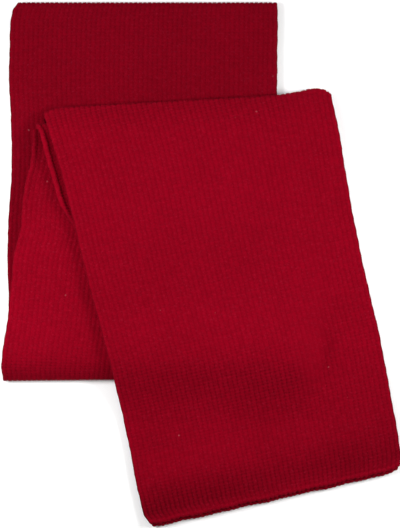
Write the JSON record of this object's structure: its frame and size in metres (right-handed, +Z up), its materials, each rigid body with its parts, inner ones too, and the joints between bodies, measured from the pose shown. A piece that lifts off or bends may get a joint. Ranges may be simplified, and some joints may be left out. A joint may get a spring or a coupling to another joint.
{
  "type": "folded knit scarf",
  "caption": "Long rectangular knit scarf, folded in half and then in a Z, lying flat with its hemmed ends fanned out over the stack",
  "frame": {"origin": "middle of the folded scarf's footprint, on the surface it lies on", "axes": "+X runs to the right across the stack, +Y runs up the back stretch towards its mid-fold, +Z is up"},
  "size_m": [0.343, 0.4521, 0.0253],
  "materials": {
    "back_knit": "matte plain knit, soft",
    "middle_knit": "matte plain knit, soft",
    "middle_knit_under": "matte plain knit, soft",
    "front_knit": "matte plain knit, soft",
    "front_knit_under": "matte plain knit, soft",
    "cast_off": "matte chained cast-off edge",
    "cast_off_under": "matte chained cast-off edge"
  },
  "bodies": {
    "root": {"back_stretch": "back_knit", "middle_stretch": "middle_knit", "middle_stretch_under": "middle_knit_under", "front_stretch": "front_knit", "front_stretch_under": "front_knit_under", "end_hem": "cast_off", "end_hem_under": "cast_off_under"}
  },
  "joints": []
}
